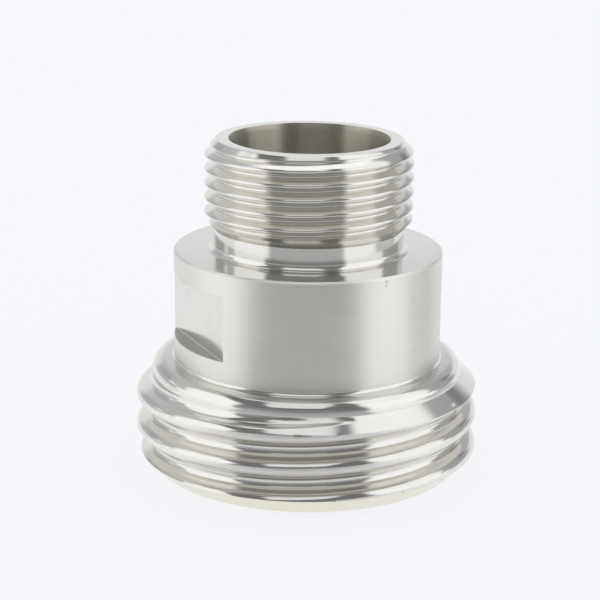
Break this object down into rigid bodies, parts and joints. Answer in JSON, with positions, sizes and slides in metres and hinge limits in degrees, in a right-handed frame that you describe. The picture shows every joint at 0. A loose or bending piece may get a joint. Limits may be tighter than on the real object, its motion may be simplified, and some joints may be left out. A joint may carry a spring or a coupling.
{
  "type": "male thread adapter",
  "caption": "Turned steel male adapter: coarse round-thread end with a gasket seat, plain body with two wrench flats, and a fine parallel pipe-thread spigot on a common through bore.",
  "frame": {"origin": "centre of the flat rim at the round-thread end, on the bore axis", "axes": "+Z along the bore axis towards the pipe-thread end, -Y towards the viewer of the picture, +X to the viewer's right"},
  "size_m": [0.044, 0.044, 0.0423],
  "materials": {
    "steel": "satin turned stainless steel"
  },
  "bodies": {
    "root": {"adapter_body": "steel"}
  },
  "joints": []
}
